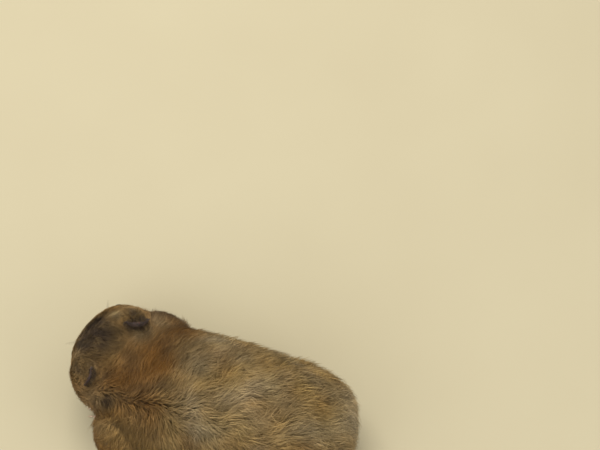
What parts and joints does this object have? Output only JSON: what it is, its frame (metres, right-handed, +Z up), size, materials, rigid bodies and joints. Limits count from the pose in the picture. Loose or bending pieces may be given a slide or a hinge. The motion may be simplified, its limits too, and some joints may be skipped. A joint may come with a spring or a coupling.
{
  "type": "syrian hamster",
  "caption": "Still, life-size golden Syrian hamster crouched to forage, its head turned to its right and its nose down at the floor, resting on its feet.",
  "frame": {"origin": "on the floor under the middle of the bounding box", "axes": "+Z up, -Y the way the trunk faces, +X the animal's own left"},
  "size_m": [0.0652, 0.1234, 0.0544],
  "materials": {
    "coat": "soft dense fur, golden brown with slate roots and dark tips, ivory below",
    "bare_skin": "thin pink skin, fine creases, slightly moist on the nose",
    "ear_skin": "thin dark purple-grey skin with a fine down",
    "eye": "wet black gloss",
    "claw": "translucent pale horn",
    "whisker": "fine smooth bristle"
  },
  "bodies": {
    "root": {"head": "coat", "muzzle": "coat", "neck": "coat", "trunk": "coat", "left_foreleg": "coat", "right_foreleg": "coat", "left_hind_leg": "coat", "right_hind_leg": "coat", "left_forepaw": "bare_skin", "right_forepaw": "bare_skin", "left_hind_foot": "bare_skin", "right_hind_foot": "bare_skin", "left_ear": "ear_skin", "right_ear": "ear_skin", "nose": "bare_skin", "tail": "bare_skin", "left_eye": "eye", "right_eye": "eye"}
  },
  "joints": []
}
